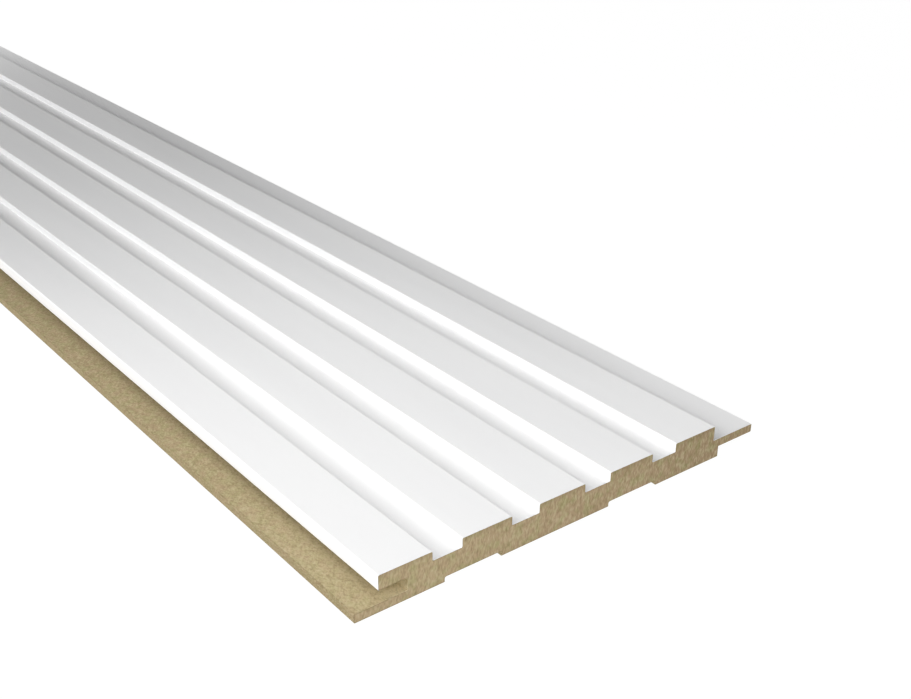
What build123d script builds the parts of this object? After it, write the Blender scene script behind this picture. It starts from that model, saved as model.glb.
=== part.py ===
from build123d import *

import os

# Slatted wall panel, milled from one MDF board and finished white on its slatted face.
# Millimetres. The length runs along Y and the width along X. The back lies on Z = 0, slats up.
# The -X edge carries the slot and its lip, and the +X edge carries the tongue.
# X = 0 is halfway between the tip of the lip and the tip of the tongue.

# The board
LENGTH = 2700.0
THICKNESS = 16.0

# Slats, and the square grooves milled between them
SLAT_COUNT = 5
SLAT_WIDTH = 24.0
GROOVE_WIDTH = 13.5
GROOVE_DEPTH = 4.0

# The edge joint. Pushed together, two panels leave one more groove between their end slats,
# slightly wider than the milled ones. The lip of one panel then meets the heel of the other.
JOINT_GROOVE_EXTRA = 0.5
HEEL_REACH = 3.5
TONGUE_ENTRY = 10.5
SLOT_END_CLEARANCE = 2.3

# Heights at the joint, measured up from the back
TONGUE_UNDERSIDE = 5.0
TONGUE_THICKNESS = 4.0
CLEARANCE_UNDER_TONGUE = 1.0
CLEARANCE_OVER_TONGUE = 0.4

# Relief channels along the back, which leave flat lands for the adhesive
RELIEF_COUNT = 2
RELIEF_WIDTH = 27.0
RELIEF_DEPTH = 2.2
RELIEF_SPACING = 83.0
RELIEF_SHIFT_TO_TONGUE = 1.0

# Radii left by the cutters and the sanding
SLAT_EDGE_RADIUS = 0.6
GROOVE_ROOT_RADIUS = 0.4
TIP_EDGE_RADIUS = 0.5
RELIEF_ROOT_RADIUS = 0.8

# Two corners at the same height are read as one level within this
LEVEL_TOLERANCE = 0.001

slat_pitch = SLAT_WIDTH + GROOVE_WIDTH
slatted_width = SLAT_COUNT * SLAT_WIDTH + (SLAT_COUNT - 1) * GROOVE_WIDTH
joint_groove = GROOVE_WIDTH + JOINT_GROOVE_EXTRA
lip_reach = joint_groove - HEEL_REACH
tongue_reach = joint_groove + TONGUE_ENTRY
slot_depth = TONGUE_ENTRY + SLOT_END_CLEARANCE
overall_width = lip_reach + slatted_width + tongue_reach

# Places across the width
lip_tip = -overall_width / 2
first_slat_side = lip_tip + lip_reach
last_slat_side = first_slat_side + slatted_width
heel_face = last_slat_side + HEEL_REACH
tongue_tip = last_slat_side + tongue_reach

# Heights
groove_floor = THICKNESS - GROOVE_DEPTH
tongue_top = TONGUE_UNDERSIDE + TONGUE_THICKNESS
slot_floor = TONGUE_UNDERSIDE - CLEARANCE_UNDER_TONGUE
slot_ceiling = tongue_top + CLEARANCE_OVER_TONGUE

FROM_LOWER_LEFT = (Align.MIN, Align.MIN)


def mill(left, right, bottom, top):
    """Cut the rectangle between these places out of the section being drawn."""
    with Locations((left, bottom)):
        Rectangle(right - left, top - bottom, align=FROM_LOWER_LEFT, mode=Mode.SUBTRACT)


def mill_slat_grooves():
    """The grooves that leave the slats standing."""
    first_groove = first_slat_side + SLAT_WIDTH
    for number in range(SLAT_COUNT - 1):
        left = first_groove + number * slat_pitch
        mill(left, left + GROOVE_WIDTH, groove_floor, THICKNESS)


def mill_tongue():
    """Clear the board above and below the tongue. The heel stays under its root."""
    mill(last_slat_side, tongue_tip, tongue_top, THICKNESS)
    mill(heel_face, tongue_tip, 0, TONGUE_UNDERSIDE)


def mill_slot_and_lip():
    """Clear the board above the lip, then run the slot in under the first slat."""
    mill(lip_tip, first_slat_side, slot_floor, THICKNESS)
    mill(first_slat_side, first_slat_side + slot_depth, slot_floor, slot_ceiling)


def mill_back_reliefs():
    """The shallow channels in the back, about the middle of what rests on the wall."""
    middle = (lip_tip + heel_face) / 2 + RELIEF_SHIFT_TO_TONGUE
    for number in range(RELIEF_COUNT):
        centre = middle + (number - (RELIEF_COUNT - 1) / 2) * RELIEF_SPACING
        mill(centre - RELIEF_WIDTH / 2, centre + RELIEF_WIDTH / 2, 0, RELIEF_DEPTH)


def corners_at(section, height, left=lip_tip, right=tongue_tip):
    """The section's corners at one height, between two places across the width."""
    level = section.vertices().filter_by_position(
        Axis.Y, height - LEVEL_TOLERANCE, height + LEVEL_TOLERANCE
    )
    return level.filter_by_position(Axis.X, left - LEVEL_TOLERANCE, right + LEVEL_TOLERANCE)


def ease_corners(section):
    """Round the long edges that a hand meets, and the roots that a cutter leaves."""
    fillet(corners_at(section, THICKNESS), SLAT_EDGE_RADIUS)
    fillet(corners_at(section, groove_floor), GROOVE_ROOT_RADIUS)
    fillet(corners_at(section, tongue_top, last_slat_side, last_slat_side), GROOVE_ROOT_RADIUS)
    for height in (TONGUE_UNDERSIDE, tongue_top):
        fillet(corners_at(section, height, tongue_tip, tongue_tip), TIP_EDGE_RADIUS)
    for height in (0, slot_floor):
        fillet(corners_at(section, height, lip_tip, lip_tip), TIP_EDGE_RADIUS)
    fillet(corners_at(section, slot_ceiling, first_slat_side, first_slat_side), TIP_EDGE_RADIUS)
    fillet(corners_at(section, RELIEF_DEPTH), RELIEF_ROOT_RADIUS)


def slatted_panel():
    """The milled board, as one solid along Y."""
    with BuildPart() as panel:
        with BuildSketch(Plane.XZ) as section:
            with Locations((lip_tip, 0)):
                Rectangle(overall_width, THICKNESS, align=FROM_LOWER_LEFT)
            mill_slat_grooves()
            mill_tongue()
            mill_slot_and_lip()
            mill_back_reliefs()
            ease_corners(section)
        extrude(amount=LENGTH / 2, both=True)
    return panel.part


os.makedirs("parts", exist_ok=True)
export_step(slatted_panel(), "parts/mdf_panel.step")

print("overall", overall_width, "covering", slatted_width + joint_groove, "slot depth", slot_depth)
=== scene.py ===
"""A slatted wall panel milled from MDF, white on its slatted face, shown on a pale studio floor."""

import math

import bpy
from bpy.props import FloatProperty, FloatVectorProperty, IntProperty, PointerProperty
from mathutils import Matrix, Vector


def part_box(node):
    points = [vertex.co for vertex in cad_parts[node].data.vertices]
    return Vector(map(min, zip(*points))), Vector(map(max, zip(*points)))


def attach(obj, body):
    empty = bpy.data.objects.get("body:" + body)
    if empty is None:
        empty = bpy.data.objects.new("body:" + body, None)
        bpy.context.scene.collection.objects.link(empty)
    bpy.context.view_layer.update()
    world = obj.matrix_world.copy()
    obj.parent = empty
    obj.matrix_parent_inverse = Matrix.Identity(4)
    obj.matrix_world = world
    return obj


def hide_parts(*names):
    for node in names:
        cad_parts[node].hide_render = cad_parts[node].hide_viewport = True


bl_info = {
    "name": "Slatted Wall Panel",
    "version": (1, 0, 0),
    "blender": (4, 5, 0),
    "location": "3D View > Sidebar > Wall Panel",
    "description": "A milled MDF panel with a white slatted face, and a pale studio floor to show it on",
    "category": "Add Mesh",
}

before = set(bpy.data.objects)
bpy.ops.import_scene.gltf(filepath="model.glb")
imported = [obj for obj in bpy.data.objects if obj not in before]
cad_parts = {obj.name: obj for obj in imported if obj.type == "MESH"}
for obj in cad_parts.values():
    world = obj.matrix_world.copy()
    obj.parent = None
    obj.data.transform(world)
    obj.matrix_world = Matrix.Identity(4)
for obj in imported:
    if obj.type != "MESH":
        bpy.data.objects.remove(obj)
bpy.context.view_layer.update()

BOARD_NODE = "mdf_panel"
BODY = "root"

cad_low, cad_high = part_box(BOARD_NODE)

# The finishes of the board, in the order of its material slots
FACED = 0
# The lip's tip, darkened as painted shade
SHADED_TIP = 1
ROUTED = 2
MILLED = 3
SANDED = 4
SAWN = 5
SKIN = 6

# The mesh: sides to a rounded corner, spans along the board, and the sharpest turn that looks smooth
CORNER_STEPS = 6
SPANS = 27
SMOOTH_ANGLE = math.radians(30)

# Texture of the facing, in metres: its clouding, its orange peel, the fibres that show through
FACING_BLOTCH = 0.05
FACING_PEEL = 0.0011
FACING_FIBRE = 0.0032
FACING_RELIEF = 0.000012

# Texture of the bare board, in metres: blotches of tone and of hue, and the width of its fibres
BROAD_BLOTCH = 0.009
FINE_BLOTCH = 0.0009
HUE_BLOTCH = 0.0045
FIBRE = 0.00062

# A sawn end has wider fibres, which show a little less, and stronger blotches of hue
SAWN_FIBRE = 0.00076
SAWN_GRAIN = 0.93
SAWN_MOTTLE = 0.55

# Noise keeps near its middle, so these stretches of it are spread from 0 to 1
CLOUDING_SPREAD = (0.3, 0.7)
TONE_SPREAD = (0.32, 0.68)
HUE_SPREAD = (0.36, 0.64)
FIBRE_SPREAD = (0.53, 0.7)

# How strongly the fibres colour the board, on a surface of full grain
PALE_FIBRES = 0.39
BROWN_FIBRES = 0.33

# The lie of the fibres in crossing layers: a turn, and a stretch along each axis
FLAT_LIE = (
    ((0, 0, 0.8), (2.8, 1, 1)),
    ((0, 0, 1.5), (2.8, 1, 1)),
    ((0, 0, 2.3), (2.8, 1, 1)),
)
UPRIGHT_LIE = (
    ((0, 0.12, 0), (1, 1, 3.4)),
    ((0, -0.3, 0), (1, 1, 2.8)),
)

# The board is painted paler under the first slat, as painted light in the slot: the start and the full
# depth of that paler part, measured inwards from the side of that slat
SLOT_LIGHT_START = -0.003
SLOT_LIGHT_FULL = 0.0035
SLOT_LIGHT_SHARE = 0.42

# The lip and the slot are also painted paler towards each end, as painted light, over this length, and
# most so just past it
END_LIGHT_REACH = 0.19
END_LIGHT_PAST_END = 0.01
END_LIGHT_SHARE = 0.36

# Painted light lies on the floor in the mouth of the slot, over this length at each end. It starts this
# far in from the side of the slat, and grows as far as this gap before the slot's end
MOUTH_LIGHT_REACH = 0.009
MOUTH_LIGHT_INSET = 0.001
MOUTH_LIGHT_END_GAP = 0.003

# It is full up to the first of these heights over the slot's floor, and none lies over the second
MOUTH_LIGHT_FULL = 0.0006
MOUTH_LIGHT_NONE = 0.0032

# Painted light and shade on the sawn ends, by places across the board: painted paler before the first
# and even from the second, then even before the first and painted browner from the second
PAINTED_LIGHT_SIDE = (-0.1, 0.03)
PAINTED_SHADE_SIDE = (0, 0.09)
PAINTED_SIDE_SHARE = 0.24

# How brown the whole of a finish is made, over its clouds and fibres
# The lip's tip is made browner as painted shade
TIP_SHADE_BROWN = 0.35
SANDED_BROWN = 0.07
SAWN_BROWN = 0.04
SKIN_BROWN = 0.3

# The dense, darker layers of a sawn end, under the face and over the back
DENSE_FACE = 0.003
DENSE_FACE_SHARE = 0.3
DENSE_BACK = 0.0012
DENSE_BACK_SHARE = 0.15

# The studio's lights. Places are measured from the middle of the near end, and each soft lamp comes
# with its share of the power of them all
SOFT_LAMPS = (
    ((-0.2, -0.3, 0.25), 0.458),
    ((-0.3, 0.15, 0.35), 0.255),
    ((-0.1, 0.15, 0.35), 0.214),
    ((0.12, -0.1, 0.25), 0.073),
)
SOFTBOX_PLACE = (-5.25, 5.25, 2.98)
SOFTBOX_SIZE = (6.63, 2.82)
STRIP_PLACE = (0, 1.925, 0.2)
STRIP_SIZE = (0.6, 2.05)
STRAIGHT_UP = (0, 0, 1)

# The room's brightness by height, where 0 is the horizon and 1 is straight overhead
ROOM_STOPS = ((0.06, 1.0), (0.18, 0.42), (0.34, 0.2), (0.57, 0.1), (0.87, 0.05))

# The floor: half its width, how far it lies under the board so that their faces stay apart, its grey
FLOOR_HALF = 40.0
FLOOR_GAP = 0.00002
FLOOR_GREY = 0.05

# The camera: the width of its sensor in millimetres, and how near and how far it sees in metres
SENSOR_WIDTH = 36.0
NEAREST_SEEN = 0.01
FARTHEST_SEEN = 200.0


def length(name, description, default):
    """A size in metres that a user can change."""
    return FloatProperty(
        name=name, description=description, default=default, min=0, precision=5,
        subtype="DISTANCE", unit="LENGTH",
    )


def colour(name, description, default):
    """A colour that a user can change."""
    return FloatVectorProperty(
        name=name, description=description, default=default, min=0, max=1, size=3, subtype="COLOR"
    )


class BoardSection(bpy.types.PropertyGroup):
    """The milled section. Its thickness, width and length come from the frame."""

    slat_count: IntProperty(name="Slats", description="Slats across the face", default=5, min=1)
    slat_width: length("Slat width", "Width of each slat", 0.024)
    groove_width: length("Groove width", "Width of the groove between two slats", 0.0135)
    groove_depth: length("Groove depth", "Depth of the groove between two slats", 0.004)
    lip_reach: length("Lip reach", "From the tip of the lip to the side of the first slat", 0.0105)
    slot_depth: length("Slot depth", "From the side of the first slat to the end of the slot", 0.0128)
    slot_floor: length("Slot floor", "Height of the lip and the slot's floor over the back", 0.004)
    slot_ceiling: length("Slot ceiling", "Height of the slot's ceiling over the back", 0.0094)
    tongue_bottom: length("Tongue underside", "Height of the tongue's underside", 0.005)
    tongue_top: length("Tongue top", "Height of the tongue's top over the back", 0.009)
    heel_reach: length("Heel reach", "From the side of the last slat to the face of the heel", 0.0035)
    relief_width: length("Relief width", "Width of each channel in the back", 0.027)
    relief_depth: length("Relief depth", "Depth of each channel in the back", 0.0022)
    relief_spacing: length("Relief spacing", "Between the middles of the two channels", 0.083)
    relief_shift: length("Relief shift", "How far the channels sit towards the tongue", 0.001)
    slat_edge: length("Slat edge", "Radius of the slats' long top edges", 0.0006)
    groove_root: length("Groove root", "Radius in the corners of the grooves", 0.0004)
    tip_edge: length("Tip edge", "Radius at the tips of the lip and the tongue", 0.0005)
    relief_root: length("Relief root", "Radius in the corners of the channels", 0.0008)
    end_ease: length("End ease", "How far the sawn ends' sharp corners are taken off", 0.00012)
    skin: length("Skin", "Width of the dense, dark skin that shows round a sawn end", 0.0003)


class BoardFinish(bpy.types.PropertyGroup):
    """The colours of the facing and of the bare board."""

    white: colour("White", "The slatted face", (0.865, 0.865, 0.865))
    white_shade: colour("White shade", "Faint clouding of the slatted face", (0.845, 0.845, 0.846))
    board_light: colour("Board light", "Bare board, pale clouds", (0.4, 0.33, 0.19))
    board_dark: colour("Board dark", "Bare board, dark clouds", (0.32, 0.258, 0.142))
    board_warm: colour("Board warm", "Bare board, brownish clouds", (0.415, 0.278, 0.178))
    board_olive: colour("Board olive", "Bare board, greenish clouds", (0.325, 0.31, 0.134))
    # Paler board, laid as painted light in the slot, towards the ends and on the sawn ends
    board_painted_light: colour("Board fresh", "Board where the cut is fresh and unworn", (0.58, 0.485, 0.28))
    # Pale colour laid as painted light on the floor in the slot's mouths
    mouth_light: colour("Dust", "Fine pale dust left in the slot", (0.72, 0.615, 0.385))
    fibre_pale: colour("Pale fibre", "Pale fibres in the bare board", (0.55, 0.475, 0.31))
    fibre_brown: colour("Brown fibre", "Dark fibres in the bare board", (0.185, 0.135, 0.065))


class StudioSettings(bpy.types.PropertyGroup):
    """The camera's place and the studio light."""

    camera_place: FloatVectorProperty(
        name="Camera", description="Where the camera stands", size=3, subtype="TRANSLATION",
        unit="LENGTH", default=(-0.29499, cad_low.y - 0.30202, 0.28101),
    )
    yaw: FloatProperty(
        name="Yaw", description="Turn of the camera from the board's length", subtype="ANGLE",
        default=math.radians(37.876),
    )
    pitch: FloatProperty(
        name="Pitch", description="How far the camera looks down", subtype="ANGLE",
        default=math.radians(26.065),
    )
    roll: FloatProperty(
        name="Roll", description="Tilt of the picture", subtype="ANGLE",
        default=math.radians(0.269),
    )
    lens: FloatProperty(
        name="Lens", description="Focal length in millimetres on a sensor 36 mm wide", default=49.968
    )
    lamp_radius: length("Lamp radius", "Radius of each round soft lamp", 0.12)
    lamp_power: FloatProperty(
        name="Lamp power", description="Watts of all the round soft lamps together", default=6.75
    )
    softbox_power: FloatProperty(
        name="Softbox power", description="Watts of the wide softbox far to the left", default=464.0
    )
    strip_power: FloatProperty(
        name="Strip power", description="Watts of the strip light over the far half", default=2.1
    )
    room_glow: FloatProperty(
        name="Room glow", description="Brightness of the studio walls at the horizon", default=1.0
    )
    floor_glow: FloatProperty(
        name="Floor glow", description="Light that the lit floor gives off by itself", default=0.98
    )


class Field:
    """A value that varies over a surface. Arithmetic on it adds Math nodes."""

    def __init__(self, graph, socket):
        self.graph = graph
        self.socket = socket

    def math(self, operation, *values):
        """Adds a Math node with these values."""
        return self.graph.node("ShaderNodeMath", {"operation": operation}, dict(enumerate(values)))

    def __add__(self, other):
        return self.math("ADD", self, other)

    def __radd__(self, other):
        return self.math("ADD", other, self)

    def __sub__(self, other):
        return self.math("SUBTRACT", self, other)

    def __rsub__(self, other):
        return self.math("SUBTRACT", other, self)

    def __mul__(self, other):
        return self.math("MULTIPLY", self, other)

    def __rmul__(self, other):
        return self.math("MULTIPLY", other, self)

    def __abs__(self):
        return self.math("ABSOLUTE", self)

    def step(self, low, high):
        """0 up to low, 1 from high, and a smooth rise between them."""
        return self.graph.node(
            "ShaderNodeMapRange",
            {"interpolation_type": "SMOOTHSTEP"},
            {"Value": self, "From Min": low, "From Max": high},
        )


class Graph:
    """The nodes of one material or world."""

    def __init__(self, owner):
        owner.use_nodes = True
        self.tree = owner.node_tree
        self.tree.nodes.clear()

    def node(self, kind, settings=None, inputs=None, output=0):
        """Adds a node, its settings first and then its sockets, and gives one output if it has any."""
        made = self.tree.nodes.new(kind)
        for name, value in (settings or {}).items():
            if name == "stops":
                self.set_stops(made.color_ramp, value)
            else:
                setattr(made, name, value)
        for name, value in (inputs or {}).items():
            if isinstance(value, Field):
                self.tree.links.new(value.socket, made.inputs[name])
            else:
                made.inputs[name].default_value = value
        return Field(self, made.outputs[output]) if len(made.outputs) else None

    def set_stops(self, ramp, stops):
        """Gives a colour ramp its stops, as (place, grey) pairs."""
        while len(ramp.elements) < len(stops):
            ramp.elements.new(1.0)
        for element, (place, grey) in zip(ramp.elements, stops):
            element.position = place
            element.color = (grey, grey, grey, 1)

    def place(self):
        """The point on the board, in metres."""
        return self.node("ShaderNodeTexCoord", output="Object")

    def axis(self, letter):
        """How far along one axis the point on the board is, in metres."""
        return self.node("ShaderNodeSeparateXYZ", None, {"Vector": self.place()}, letter)

    def clouds(self, size, stretch=(1, 1, 1), detail=2.0, shift=0.0, turn=(0, 0, 0)):
        """Noise from 0 to 1, in blotches about size metres across and longer by stretch.

        A shift keeps patterns apart that would else be alike, and a turn tilts them."""
        turned = self.node(
            "ShaderNodeVectorRotate",
            {"rotation_type": "EULER_XYZ"},
            {"Vector": self.place(), "Rotation": turn},
        )
        moved = self.node(
            "ShaderNodeMapping",
            {"vector_type": "POINT"},
            {
                "Vector": turned,
                "Location": (shift, shift, shift),
                "Scale": tuple(1 / (size * along) for along in stretch),
            },
        )
        return self.node(
            "ShaderNodeTexNoise",
            {"noise_dimensions": "3D"},
            {"Vector": moved, "Scale": 1.0, "Detail": detail, "Roughness": 0.5},
        )

    def blend(self, share, first, second):
        """The first colour where share is 0 and the second where it is 1."""
        return self.node(
            "ShaderNodeMix", {"data_type": "RGBA"}, {0: share, 6: solid(first), 7: solid(second)}, 2
        )

    def bump(self, height, depth):
        """A normal from a height of 0 to 1 that is depth metres deep."""
        return self.node(
            "ShaderNodeBump", None, {"Strength": 1.0, "Distance": depth, "Height": height}
        )

    def finish(self, surface):
        """Ends a material with its surface."""
        self.node("ShaderNodeOutputMaterial", None, {"Surface": surface})

    def paint(self, tint, roughness, specular, normal):
        """Ends a material as one opaque surface."""
        self.finish(self.node(
            "ShaderNodeBsdfPrincipled",
            None,
            {
                "Base Color": tint,
                "Roughness": roughness,
                "Specular IOR Level": specular,
                "Normal": normal,
            },
        ))


def solid(tint):
    """A plain colour with full alpha, or a varying one as it is."""
    return tint if isinstance(tint, Field) else (*tint, 1.0)


def white_facing(colours):
    """The smooth satin white of the slatted face, with the board's fibres faintly under it."""
    material = bpy.data.materials.new("white_facing")
    graph = Graph(material)
    clouding = graph.clouds(FACING_BLOTCH, stretch=(0.4, 3, 0.4), detail=3.0)
    peel = graph.clouds(FACING_PEEL, detail=1.5)
    fibres = graph.clouds(FACING_FIBRE, stretch=(1, 2.2, 1), detail=3.0, shift=7.0)
    graph.paint(
        tint=graph.blend(clouding.step(*CLOUDING_SPREAD), colours.white_shade, colours.white),
        roughness=0.6 + 0.1 * (fibres - 0.5),
        specular=0.2,
        normal=graph.bump(0.45 * peel + 0.55 * fibres, FACING_RELIEF),
    )
    return material


class BareBoard:
    """Bare MDF as a material. Each layer of colour goes over what is there."""

    def __init__(self, name, colours, mottle=0.28, warmth=0.0):
        """Starts with clouds: pale and dark ones, and by the share mottle brownish and greenish ones.

        Warmth leaves less of the greenish."""
        self.colours = colours
        self.material = bpy.data.materials.new(name)
        self.graph = Graph(self.material)
        broad = self.graph.clouds(BROAD_BLOTCH, detail=3.0)
        self.fine = self.graph.clouds(FINE_BLOTCH, detail=2.0, shift=3.0)
        tone = (0.5 * broad + 0.5 * self.fine).step(*TONE_SPREAD)
        low, high = HUE_SPREAD
        blotches = self.graph.clouds(HUE_BLOTCH, detail=2.5, shift=19.0)
        hue = blotches.step(low + warmth, high + warmth)
        self.tint = self.graph.blend(
            mottle,
            self.graph.blend(tone, colours.board_dark, colours.board_light),
            self.graph.blend(hue, colours.board_warm, colours.board_olive),
        )
        # Half of the relief is the fine blotches, and the layers of fibres share the other half
        self.relief = 0.5 * self.fine

    def cover(self, share, tint):
        """Lays a colour over the board: nowhere at a share of 0, all over it at 1."""
        self.tint = self.graph.blend(share, self.tint, tint)

    def lay_fibres(self, lie, width=FIBRE, grain=1.0):
        """Lays crossing layers of pale and brown fibres, which also stand out from the surface."""
        for number, (turn, stretch) in enumerate(lie):
            fibres = self.graph.clouds(width, stretch, detail=1.0, shift=11.0 + 5 * number, turn=turn)
            pale = fibres.step(*FIBRE_SPREAD) * (PALE_FIBRES * grain)
            brown = (1 - fibres).step(*FIBRE_SPREAD) * (BROWN_FIBRES * grain)
            self.cover(pale, self.colours.fibre_pale)
            self.cover(brown, self.colours.fibre_brown)
            self.relief = self.relief + fibres * (0.5 / len(lie))

    def finished(self, depth, roughness=0.9):
        """The material, with its relief depth metres deep."""
        self.graph.paint(
            tint=self.tint,
            roughness=roughness + 0.08 * (self.fine - 0.5),
            specular=0.15,
            normal=self.graph.bump(self.relief, depth),
        )
        return self.material


def tip_shade_mdf(colours):
    """The tip of the lip, made browner all over as painted shade."""
    board = BareBoard("tip_shade_mdf", colours)
    board.lay_fibres(FLAT_LIE)
    # Painted shade: the whole tip is made browner
    board.cover(TIP_SHADE_BROWN, colours.fibre_brown)
    return board.finished(depth=0.00006)


def routed_mdf(size, colours):
    """The lip and the slot, with painted light: paler under the first slat, towards the ends, and on the
    floor in the slot's mouths.
    """
    first_side = cad_low.x + size.lip_reach
    slot_end = first_side + size.slot_depth
    board = BareBoard("routed_mdf", colours, mottle=0.38)
    across = board.graph.axis("X")
    from_middle = abs(board.graph.axis("Y"))
    height = board.graph.axis("Z")
    painted_end_light = from_middle.step(cad_high.y - END_LIGHT_REACH, cad_high.y + END_LIGHT_PAST_END)
    painted_slot_light = across.step(first_side + SLOT_LIGHT_START, first_side + SLOT_LIGHT_FULL)
    # Painted light: paler board under the first slat and towards each end
    board.cover(painted_end_light * END_LIGHT_SHARE + painted_slot_light * SLOT_LIGHT_SHARE, colours.board_painted_light)
    # Painted light on the floor in the slot's mouths, near each end
    inside = across.step(first_side + MOUTH_LIGHT_INSET, slot_end - MOUTH_LIGHT_END_GAP)
    above = height.step(size.slot_floor + MOUTH_LIGHT_FULL, size.slot_floor + MOUTH_LIGHT_NONE)
    in_mouth = from_middle.step(cad_high.y - MOUTH_LIGHT_REACH, cad_high.y)
    board.cover(inside * (1 - above) * in_mouth, colours.mouth_light)
    board.lay_fibres(FLAT_LIE, grain=0.8)
    return board.finished(depth=0.00007)


def milled_mdf(colours):
    """The tongue's tip and underside, the heel, and the channels in the back."""
    board = BareBoard("milled_mdf", colours)
    board.lay_fibres(FLAT_LIE)
    return board.finished(depth=0.00009)


def sanded_mdf(colours):
    """The lands of the back, sanded smoother than the rest."""
    board = BareBoard("sanded_mdf", colours)
    board.lay_fibres(FLAT_LIE)
    board.cover(SANDED_BROWN, colours.fibre_brown)
    return board.finished(depth=0.00003, roughness=0.8)


def sawn_mdf(colours):
    """A sawn end: painted light at the slot, painted shade at the tongue, and denser near the face and
    the back.
    """
    board = BareBoard("sawn_mdf", colours, mottle=SAWN_MOTTLE, warmth=0.05)
    across = board.graph.axis("X")
    height = board.graph.axis("Z")
    # Painted light towards the slot and painted shade towards the tongue
    board.cover((1 - across.step(*PAINTED_LIGHT_SIDE)) * PAINTED_SIDE_SHARE, colours.board_painted_light)
    board.cover(across.step(*PAINTED_SHADE_SIDE) * PAINTED_SIDE_SHARE, colours.fibre_brown)
    board.lay_fibres(UPRIGHT_LIE, width=SAWN_FIBRE, grain=SAWN_GRAIN)
    dense_face = height.step(cad_high.z - DENSE_FACE, cad_high.z) * DENSE_FACE_SHARE
    dense_back = (1 - height.step(cad_low.z, cad_low.z + DENSE_BACK)) * DENSE_BACK_SHARE
    board.cover(dense_face + dense_back, colours.fibre_brown)
    board.cover(SAWN_BROWN, colours.fibre_brown)
    return board.finished(depth=0.00011)


def sawn_skin(colours):
    """The dense, dark skin round a sawn end."""
    board = BareBoard("sawn_skin", colours, mottle=SAWN_MOTTLE)
    board.lay_fibres(UPRIGHT_LIE, width=SAWN_FIBRE, grain=SAWN_GRAIN)
    board.cover(SKIN_BROWN, colours.fibre_brown)
    return board.finished(depth=0.0001)


def board_materials(size, colours):
    """The board's finishes, in the order of their numbers from FACED to SKIN."""
    return [
        white_facing(colours),
        tip_shade_mdf(colours),
        routed_mdf(size, colours),
        milled_mdf(colours),
        sanded_mdf(colours),
        sawn_mdf(colours),
        sawn_skin(colours),
    ]


def section_corners(size):
    """The section's corners, clockwise from the foot of the lip, seen from the near end.

    Each is a point across the board, a radius, and the finish of the side that follows it."""
    top = cad_high.z
    pitch = size.slat_width + size.groove_width
    first_side = cad_low.x + size.lip_reach
    last_side = first_side + size.slat_count * pitch - size.groove_width
    slot_end = first_side + size.slot_depth
    heel = last_side + size.heel_reach
    corners = [
        (cad_low.x, cad_low.z, size.tip_edge, SHADED_TIP),
        (cad_low.x, size.slot_floor, size.tip_edge, ROUTED),
        (slot_end, size.slot_floor, 0, ROUTED),
        (slot_end, size.slot_ceiling, 0, ROUTED),
        (first_side, size.slot_ceiling, size.tip_edge, FACED),
    ]
    for number in range(size.slat_count):
        left = first_side + number * pitch
        if number:
            corners.append((left, top - size.groove_depth, size.groove_root, FACED))
        corners.append((left, top, size.slat_edge, FACED))
        corners.append((left + size.slat_width, top, size.slat_edge, FACED))
        if number < size.slat_count - 1:
            corners.append(
                (left + size.slat_width, top - size.groove_depth, size.groove_root, FACED)
            )
    corners += [
        (last_side, size.tongue_top, size.groove_root, FACED),
        (cad_high.x, size.tongue_top, size.tip_edge, MILLED),
        (cad_high.x, size.tongue_bottom, size.tip_edge, MILLED),
        (heel, size.tongue_bottom, 0, MILLED),
        (heel, cad_low.z, 0, SANDED),
    ]
    middle = (cad_low.x + heel) / 2 + size.relief_shift
    for side in (1, -1):
        centre = middle + side * size.relief_spacing / 2
        right = centre + size.relief_width / 2
        left = centre - size.relief_width / 2
        corners += [
            (right, cad_low.z, 0, MILLED),
            (right, size.relief_depth, size.relief_root, MILLED),
            (left, size.relief_depth, size.relief_root, MILLED),
            (left, cad_low.z, 0, SANDED),
        ]
    return [(Vector((x, z)), radius, finish) for x, z, radius, finish in corners]


def rounded_outline(corners):
    """The outline's points, each corner with a radius made into a quarter turn, and their finishes.

    Of the two sides at a rounded corner, the one with the lower finish number covers the turn."""
    points = []
    finishes = []
    for index, (corner, radius, finish) in enumerate(corners):
        before, _, finish_before = corners[index - 1]
        after = corners[(index + 1) % len(corners)][0]
        if not radius:
            points.append(corner)
            finishes.append(finish)
            continue
        back = (before - corner).normalized() * radius
        ahead = (after - corner).normalized() * radius
        for step in range(CORNER_STEPS + 1):
            angle = math.pi / 2 * step / CORNER_STEPS
            points.append(corner + back * (1 - math.sin(angle)) + ahead * (1 - math.cos(angle)))
            finishes.append(min(finish, finish_before))
        finishes[-1] = finish
    return points, finishes


def moved_inward(points, distance):
    """The outline with each side moved into the board by a distance."""
    moved = []
    for index, point in enumerate(points):
        into = (point - points[index - 1]).normalized()
        out = (points[(index + 1) % len(points)] - point).normalized()
        inward = Vector((into.y + out.y, -into.x - out.x))
        moved.append(point + inward * (distance / (1 + into.dot(out))))
    return moved


class BoardMesh:
    """Collects the board's points and faces."""

    def __init__(self):
        self.points = []
        self.faces = []
        self.finishes = []

    def ring(self, outline, y):
        """Adds the outline at one place along the board, and gives its points' numbers."""
        start = len(self.points)
        self.points += [(point.x, y, point.y) for point in outline]
        return list(range(start, len(self.points)))

    def face(self, corners, finish):
        """Adds one face by its corners' numbers, with the number of its finish."""
        self.faces.append(corners)
        self.finishes.append(finish)

    def join(self, near, far, finishes):
        """Adds the strip of faces between two rings."""
        for index, finish in enumerate(finishes):
            after = (index + 1) % len(near)
            self.face([near[index], near[after], far[after], far[index]], finish)

    def close(self, ring, inner, facing_near):
        """Fills a sawn end: the board's dense skin, and the softer core inside it."""
        for index, corner in enumerate(ring):
            after = (index + 1) % len(ring)
            corners = [corner, ring[after], inner[after], inner[index]]
            self.face(corners[::-1] if facing_near else corners, SKIN)
        self.face(inner if facing_near else inner[::-1], SAWN)


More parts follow.
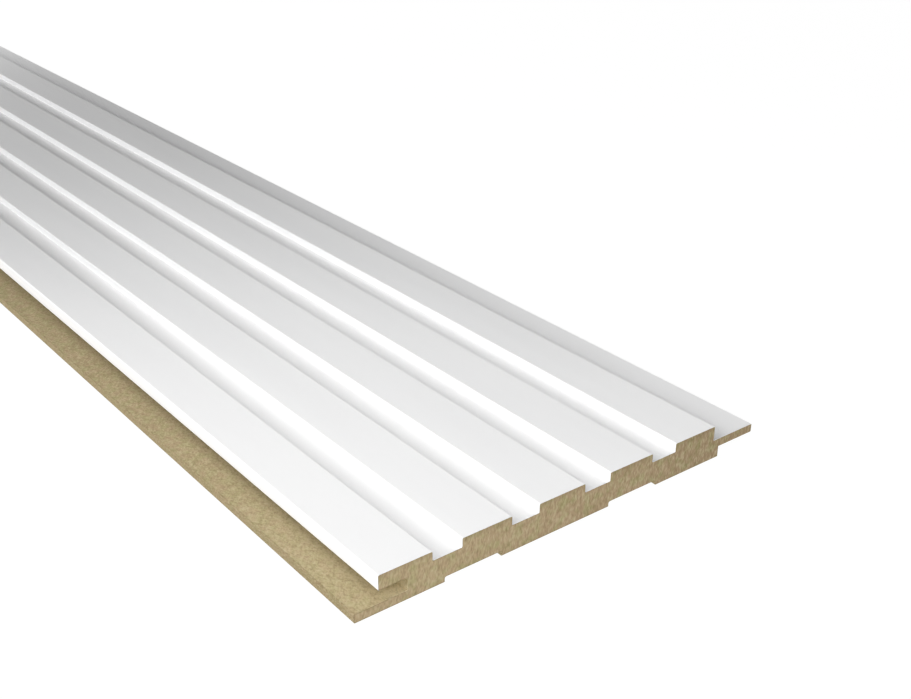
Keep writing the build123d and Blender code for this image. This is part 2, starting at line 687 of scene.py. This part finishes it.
def board_mesh(size):
    """The board's mesh: the rounded section carried along the length, closed at both sawn ends."""
    outline, finishes = rounded_outline(section_corners(size))
    eased = moved_inward(outline, size.end_ease)
    core = moved_inward(eased, size.skin)
    built = BoardMesh()
    near = cad_low.y + size.end_ease
    far = cad_high.y - size.end_ease
    stations = [near + (far - near) * span / SPANS for span in range(SPANS + 1)]
    rings = [built.ring(eased, cad_low.y)]
    rings += [built.ring(outline, y) for y in stations]
    rings.append(built.ring(eased, cad_high.y))
    for ring, following in zip(rings, rings[1:]):
        built.join(ring, following, finishes)
    built.close(rings[0], built.ring(core, cad_low.y), facing_near=True)
    built.close(rings[-1], built.ring(core, cad_high.y), facing_near=False)
    mesh = bpy.data.meshes.new("slatted_board")
    mesh.from_pydata(built.points, [], built.faces)
    mesh.polygons.foreach_set("material_index", built.finishes)
    mesh.polygons.foreach_set("use_smooth", [True] * len(built.faces))
    mesh.set_sharp_from_angle(angle=SMOOTH_ANGLE)
    mesh.update()
    return mesh


class WALLPANEL_OT_add_board(bpy.types.Operator):
    """Add the slatted board, in place of its plain solid"""

    bl_idname = "wallpanel.add_board"
    bl_label = "Add Slatted Board"

    def execute(self, context):
        scene = context.scene
        mesh = board_mesh(scene.board_section)
        for material in board_materials(scene.board_section, scene.board_finish):
            mesh.materials.append(material)
        if mesh.validate():
            raise RuntimeError("the board's mesh had faces that couldn't stand")
        board = bpy.data.objects.new("slatted_board", mesh)
        scene.collection.objects.link(board)
        normals = board.modifiers.new("even_normals", "WEIGHTED_NORMAL")
        normals.keep_sharp = True
        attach(board, BODY)
        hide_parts(BOARD_NODE)
        return {"FINISHED"}


def studio_floor(settings):
    """A pale floor far larger than the board."""
    corners = [
        (-FLOOR_HALF, -FLOOR_HALF, 0),
        (FLOOR_HALF, -FLOOR_HALF, 0),
        (FLOOR_HALF, FLOOR_HALF, 0),
        (-FLOOR_HALF, FLOOR_HALF, 0),
    ]
    mesh = bpy.data.meshes.new("studio_floor")
    mesh.from_pydata(corners, [], [(0, 1, 2, 3)])
    material = bpy.data.materials.new("studio_floor")
    graph = Graph(material)
    graph.finish(graph.node(
        "ShaderNodeBsdfPrincipled",
        None,
        {
            "Base Color": (FLOOR_GREY, FLOOR_GREY, FLOOR_GREY, 1.0),
            "Roughness": 1.0,
            "Specular IOR Level": 0.0,
            "Emission Color": (1.0, 1.0, 1.0, 1.0),
            "Emission Strength": settings.floor_glow,
        },
    ))
    mesh.materials.append(material)
    floor = bpy.data.objects.new("studio_floor", mesh)
    floor.location.z = cad_low.z - FLOOR_GAP
    bpy.context.scene.collection.objects.link(floor)


def studio_world(settings):
    """A pale room: brightest at the horizon, dim overhead."""
    world = bpy.data.worlds.new("studio")
    bpy.context.scene.world = world
    graph = Graph(world)
    direction = graph.node("ShaderNodeTexCoord", output="Generated")
    height = graph.node("ShaderNodeSeparateXYZ", None, {"Vector": direction}, "Z")
    glow = graph.node("ShaderNodeValToRGB", {"stops": ROOM_STOPS}, {"Fac": height})
    light = graph.node(
        "ShaderNodeBackground", None, {"Color": glow, "Strength": settings.room_glow}
    )
    graph.node("ShaderNodeOutputWorld", None, {"Surface": light})


def hang_light(light, place, back):
    """Hangs a light at a place measured from the middle of the near end, shining away from back."""
    end = Vector((0, cad_low.y, 0))
    lamp = bpy.data.objects.new(light.name, light)
    lamp.location = end + Vector(place)
    lamp.rotation_euler = Vector(back).to_track_quat("Z", "Y").to_euler()
    lamp.visible_camera = False
    bpy.context.scene.collection.objects.link(lamp)


def flat_light(name, size, power):
    """A rectangular soft light."""
    light = bpy.data.lights.new(name, "AREA")
    light.shape = "RECTANGLE"
    light.size = size[0]
    light.size_y = size[1]
    light.energy = power
    return light


def studio_lights(settings):
    """Round soft lamps over the near end, a wide softbox far to the left, a strip over the far half."""
    for place, share in SOFT_LAMPS:
        lamp = bpy.data.lights.new("soft_lamp", "POINT")
        lamp.energy = settings.lamp_power * share
        lamp.shadow_soft_size = settings.lamp_radius
        hang_light(lamp, place, back=place)
    softbox = flat_light("softbox", SOFTBOX_SIZE, settings.softbox_power)
    hang_light(softbox, SOFTBOX_PLACE, back=SOFTBOX_PLACE)
    strip = flat_light("strip_light", STRIP_SIZE, settings.strip_power)
    hang_light(strip, STRIP_PLACE, back=STRAIGHT_UP)


def studio_camera(settings):
    """The camera, at the photograph's angle."""
    camera = bpy.data.cameras.new("camera")
    camera.sensor_width = SENSOR_WIDTH
    camera.lens = settings.lens
    camera.clip_start = NEAREST_SEEN
    camera.clip_end = FARTHEST_SEEN
    seen = bpy.data.objects.new("camera", camera)
    turn = Matrix.Rotation(-settings.yaw, 4, "Z")
    tilt = Matrix.Rotation(math.pi / 2 - settings.pitch, 4, "X")
    roll = Matrix.Rotation(settings.roll, 4, "Z")
    seen.matrix_world = Matrix.Translation(settings.camera_place) @ turn @ tilt @ roll
    bpy.context.scene.collection.objects.link(seen)
    bpy.context.scene.camera = seen


class WALLPANEL_OT_set_stage(bpy.types.Operator):
    """Add the pale floor, the studio's light and the camera"""

    bl_idname = "wallpanel.set_stage"
    bl_label = "Set Studio Stage"

    def execute(self, context):
        settings = context.scene.studio_settings
        studio_floor(settings)
        studio_world(settings)
        studio_lights(settings)
        studio_camera(settings)
        context.scene.view_settings.view_transform = "Standard"
        return {"FINISHED"}


class WALLPANEL_PT_sidebar(bpy.types.Panel):
    """The wall panel's sizes, colours and stage"""

    bl_idname = "WALLPANEL_PT_sidebar"
    bl_label = "Slatted Wall Panel"
    bl_space_type = "VIEW_3D"
    bl_region_type = "UI"
    bl_category = "Wall Panel"

    def draw(self, context):
        scene = context.scene
        for settings in (scene.board_section, scene.board_finish, scene.studio_settings):
            column = self.layout.box().column()
            for name in type(settings).__annotations__:
                column.prop(settings, name)
        self.layout.operator(WALLPANEL_OT_add_board.bl_idname)
        self.layout.operator(WALLPANEL_OT_set_stage.bl_idname)


CLASSES = (
    BoardSection,
    BoardFinish,
    StudioSettings,
    WALLPANEL_OT_add_board,
    WALLPANEL_OT_set_stage,
    WALLPANEL_PT_sidebar,
)


def register():
    for made in CLASSES:
        bpy.utils.register_class(made)
    bpy.types.Scene.board_section = PointerProperty(type=BoardSection)
    bpy.types.Scene.board_finish = PointerProperty(type=BoardFinish)
    bpy.types.Scene.studio_settings = PointerProperty(type=StudioSettings)


def unregister():
    del bpy.types.Scene.studio_settings
    del bpy.types.Scene.board_finish
    del bpy.types.Scene.board_section
    for made in reversed(CLASSES):
        bpy.utils.unregister_class(made)


def main():
    """Registers the add-on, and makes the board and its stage."""
    register()
    bpy.ops.wallpanel.add_board()
    bpy.ops.wallpanel.set_stage()


if __name__ == "__main__":
    main()
